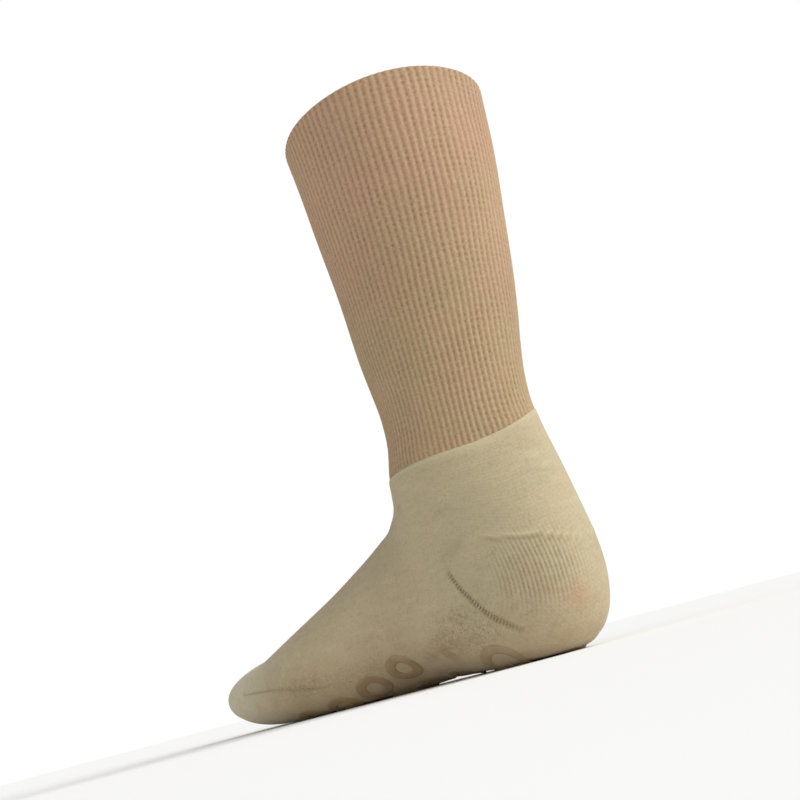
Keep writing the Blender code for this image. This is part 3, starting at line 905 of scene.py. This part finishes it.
def yarn_finish():
    """Beige cotton yarn, a little uneven."""
    yarn = Finish("beige_yarn")
    where = yarn.node("TexCoord").outputs["Object"]
    tone = yarn.step(yarn.noise(where, 800.0), 0.35, 0.65)
    colour = yarn.mix(tone, paint(158, 142, 110), paint(178, 164, 130))
    return yarn.done(colour, 0.93, yarn.bump(yarn.noise(where, 2600.0, 3.0), 0.00012, 0.6), 0.12)


yarn_material = yarn_finish()
for stitching in (gore_ladders, toe_stitches):
    stitching.data.materials.append(yarn_material)
    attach(stitching, "root")

# Grip rings
# Seventeen flat rings of matt brown silicone are printed on the sole, thick enough to feel, with rounded
# edges sunk a little into the knit. The three under the heel are larger and paler.
RING_OUTER = 0.019
RING_HOLE = 0.0085
HEEL_RING_OUTER = 0.0235
HEEL_RING_HOLE = 0.0135
RING_STEPS = 56
RING_PROFILE_STEPS = 12
RING_SUNK = 0.0004
RING_PROUD = 0.00045
PRINT_UNEVEN = 0.00007
PRINT_SQUARENESS = 7
RAY_START = 0.02
LOWEST = 0.00001


def grip_ring(name):
    """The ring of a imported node, as a rounded flat band laid on the dressed foot."""
    points = np.array([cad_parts[name].matrix_world @ v.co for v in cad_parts[name].data.vertices])
    centre = (points.min(axis=0) + points.max(axis=0)) / 2
    flat_axes = np.linalg.svd(points - points.mean(axis=0))[2]
    normal = Vector(flat_axes[2])
    normal = -normal if normal.z > 0 else normal
    first = Vector((1, 0, 0)) - normal * normal.x
    first.normalize()
    second = normal.cross(first)
    heel = name.startswith("grip_heel")
    outer, hole = (HEEL_RING_OUTER, HEEL_RING_HOLE) if heel else (RING_OUTER, RING_HOLE)
    middle, half_band = (outer + hole) / 4, (outer - hole) / 4
    bpy.ops.object.select_all(action="DESELECT")
    bpy.ops.mesh.primitive_torus_add(major_segments=RING_STEPS, minor_segments=RING_PROFILE_STEPS,
                                     major_radius=middle, minor_radius=half_band)
    ring = bpy.context.active_object
    ring.name = name + "_print"
    ring.data.name = ring.name
    for vertex in ring.data.vertices:
        round_way = Vector((vertex.co.x, vertex.co.y, 0)).normalized()
        across = (math.hypot(vertex.co.x, vertex.co.y) - middle) / half_band
        fullness = (1 - min(abs(across), 1.0) ** PRINT_SQUARENESS) ** 0.5
        angle = math.atan2(round_way.y, round_way.x)
        uneven = math.sin(3 * angle + centre[0] * 900) + math.sin(5 * angle + centre[1] * 700)
        out = round_way * (middle + across * half_band + PRINT_UNEVEN * uneven)
        start = Vector(centre) + first * out.x + second * out.y
        found = foot_tree.ray_cast(start + normal * RAY_START, -normal)
        under, up = found[0], found[1]
        up = up if up.dot(normal) > 0 else -up
        up = (up + normal).normalized()
        proud = RING_PROUD * fullness if vertex.co.z > 0 else -RING_SUNK
        vertex.co = under + up * proud
        if under.z < SOLE_UP and vertex.co.z < under.z:
            vertex.co.z = max(under.z + (vertex.co.z - under.z) * (under.z / RING_PROUD), LOWEST)
    bpy.ops.object.mode_set(mode="EDIT")
    bpy.ops.mesh.select_all(action="SELECT")
    bpy.ops.mesh.normals_make_consistent(inside=False)
    bpy.ops.object.mode_set(mode="OBJECT")
    bpy.ops.object.shade_smooth()
    return ring


def silicone_finish():
    """Matt silicone print, a touch darker than the knit, with the stitches showing through."""
    print_ink = Finish("printed_silicone")
    where = print_ink.node("TexCoord").outputs["Object"]
    tone = print_ink.step(print_ink.noise(where, 120.0, 3.0), 0.35, 0.68)
    colour = print_ink.mix(tone, paint(150, 127, 95), paint(163, 141, 108))
    along = print_ink.node("SeparateXYZ", {0: where}).outputs["Y"]
    under_heel = print_ink.step(along, 0.040, 0.060)
    colour = print_ink.tint(colour, under_heel, 0.40, (172, 152, 119))
    weave = print_ink.noise(where, 700.0, 2.0)
    fine = print_ink.noise(where, 2400.0, 2.0)
    normal = print_ink.bump(fine, 0.00006, 0.4, print_ink.bump(weave, 0.00030, 0.7))
    return print_ink.done(colour, 0.58, normal)


silicone = silicone_finish()
for grip in sorted(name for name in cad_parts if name.startswith("grip_")):
    printed = grip_ring(grip)
    printed.data.materials.append(silicone)
    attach(printed, "root")
    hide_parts(grip)

# Studio
# A pale floor that runs on into a white surround, a broad soft light from the right and above, and a weak
# fill from above the camera. The camera stands low behind the inner side of the heel, rolled so that the
# leg leans as in the photo.
bpy.ops.object.select_all(action="DESELECT")
bpy.ops.mesh.primitive_plane_add(size=60)
floor = bpy.context.active_object
floor.name = "floor"
floor_paper = Finish("pale_floor")
floor.data.materials.append(floor_paper.done(paint(252, 252, 251), 0.9))

CAMERA_TURN = math.radians(134)
CAMERA_UP = 0.008
CAMERA_AWAY = 0.56
CAMERA_ROLL = math.radians(-15)
SOCK_MIDDLE = Vector((0.004, 0.002, 0.138))
LOOK_AT = Vector((-0.0176, 0.0182, 0.1475))
LENS = 49.0
SURROUND_LIGHT = 0.44
sight = bpy.data.cameras.new("sight")
sight.lens = LENS
sight.sensor_width = 36.0
sight.clip_start = 0.001
camera = bpy.data.objects.new("camera", sight)
bpy.context.scene.collection.objects.link(camera)
stand = SOCK_MIDDLE + Vector((math.sin(CAMERA_TURN), -math.cos(CAMERA_TURN), 0)) * CAMERA_AWAY
stand.z = CAMERA_UP
look = (LOOK_AT - stand).normalized()
camera.matrix_world = (Matrix.Translation(stand) @ look.to_track_quat("-Z", "Y").to_matrix().to_4x4()
                       @ Matrix.Rotation(CAMERA_ROLL, 4, "Z"))
bpy.context.scene.camera = camera

# The two lights, each with the way it comes from, its strength and its spread in degrees
right = look.cross(Vector((0, 0, 1))).normalized()
for name, way, strength, spread in (
    ("window", right * 0.9 + Vector((0, 0, 0.8)) - look * 0.4, 2.6, 50),
    ("fill", -right * 0.35 + Vector((0, 0, 1.0)) - look * 0.8, 0.3, 80),
):
    lamp = bpy.data.lights.new(name, "SUN")
    lamp.energy = strength
    lamp.angle = math.radians(spread)
    light = bpy.data.objects.new(name, lamp)
    bpy.context.scene.collection.objects.link(light)
    light.matrix_world = way.to_track_quat("Z", "Y").to_matrix().to_4x4()

surround = bpy.data.worlds.new("surround")
surround.use_nodes = True
bpy.context.scene.world = surround
sky_nodes = surround.node_tree
sky = sky_nodes.nodes["Background"]
seen = sky_nodes.nodes.new("ShaderNodeLightPath")
level = sky_nodes.nodes.new("ShaderNodeMapRange")
level.inputs["To Min"].default_value = SURROUND_LIGHT
level.inputs["To Max"].default_value = 1.0
sky_nodes.links.new(seen.outputs["Is Camera Ray"], level.inputs["Value"])
sky_nodes.links.new(level.outputs["Result"], sky.inputs["Strength"])
sky.inputs["Color"].default_value = (1, 1, 1, 1)
bpy.context.scene.view_settings.view_transform = "Standard"
